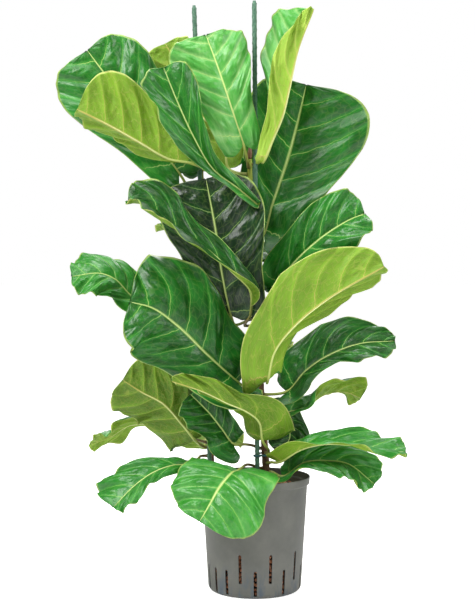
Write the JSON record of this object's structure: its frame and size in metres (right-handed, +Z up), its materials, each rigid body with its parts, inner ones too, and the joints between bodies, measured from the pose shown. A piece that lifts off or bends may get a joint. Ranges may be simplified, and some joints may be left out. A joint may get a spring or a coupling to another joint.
{
  "type": "potted fiddle leaf fig",
  "caption": "Young fiddle leaf fig with broad lobed leaves on two staked stems, in a slotted grey nursery pot of clay pellets.",
  "frame": {"origin": "centre of the pot's underside, where it stands", "axes": "+Z up along the pot's axis; -Y is the plant's open front, which a viewer faces; +X to that viewer's right"},
  "size_m": [0.5557, 0.3697, 0.952],
  "materials": {
    "leaf_upper": "satin",
    "leaf_pale": "satin",
    "stem_bark": "matte",
    "bud_sheath": "satin",
    "pot_plastic": "matte",
    "clay": "matte",
    "stake_plastic": "satin",
    "clip_wire": "satin"
  },
  "bodies": {
    "root": {"pot": "pot_plastic", "main_stem": "stem_bark", "second_stem": "stem_bark", "stake_front": "stake_plastic", "stake_rear": "stake_plastic", "clay_pellets": "clay", "stem_clip": "clip_wire", "main_bud": "bud_sheath", "second_bud": "bud_sheath", "leaf_crown_left": "leaf_upper", "leaf_crown_left_front": "leaf_pale", "leaf_crown_curled": "leaf_upper", "leaf_crown_face": "leaf_upper", "leaf_crown_behind": "leaf_pale", "leaf_crown_right": "leaf_pale", "leaf_upper_right": "leaf_upper", "leaf_centre_dark": "leaf_upper", "leaf_centre_diagonal": "leaf_upper", "leaf_middle_left": "leaf_upper", "leaf_far_left": "leaf_upper", "leaf_middle_right": "leaf_upper", "leaf_right_pale": "leaf_pale", "leaf_front_bowl": "leaf_pale", "leaf_lower_left_pale": "leaf_pale", "leaf_lower_left_dark": "leaf_upper", "leaf_far_left_arch": "leaf_pale", "leaf_left_drooping": "leaf_upper", "leaf_front_over_rim": "leaf_upper", "leaf_right_glossy": "leaf_upper", "leaf_right_twisted": "leaf_upper", "leaf_right_hanging": "leaf_upper", "leaf_right_arching": "leaf_pale", "leaf_right_low": "leaf_upper", "leaf_crown_back": "leaf_upper", "leaf_back_right": "leaf_upper", "leaf_back_left": "leaf_upper", "leaf_back_middle": "leaf_upper", "leaf_back_low": "leaf_upper"}
  },
  "joints": []
}
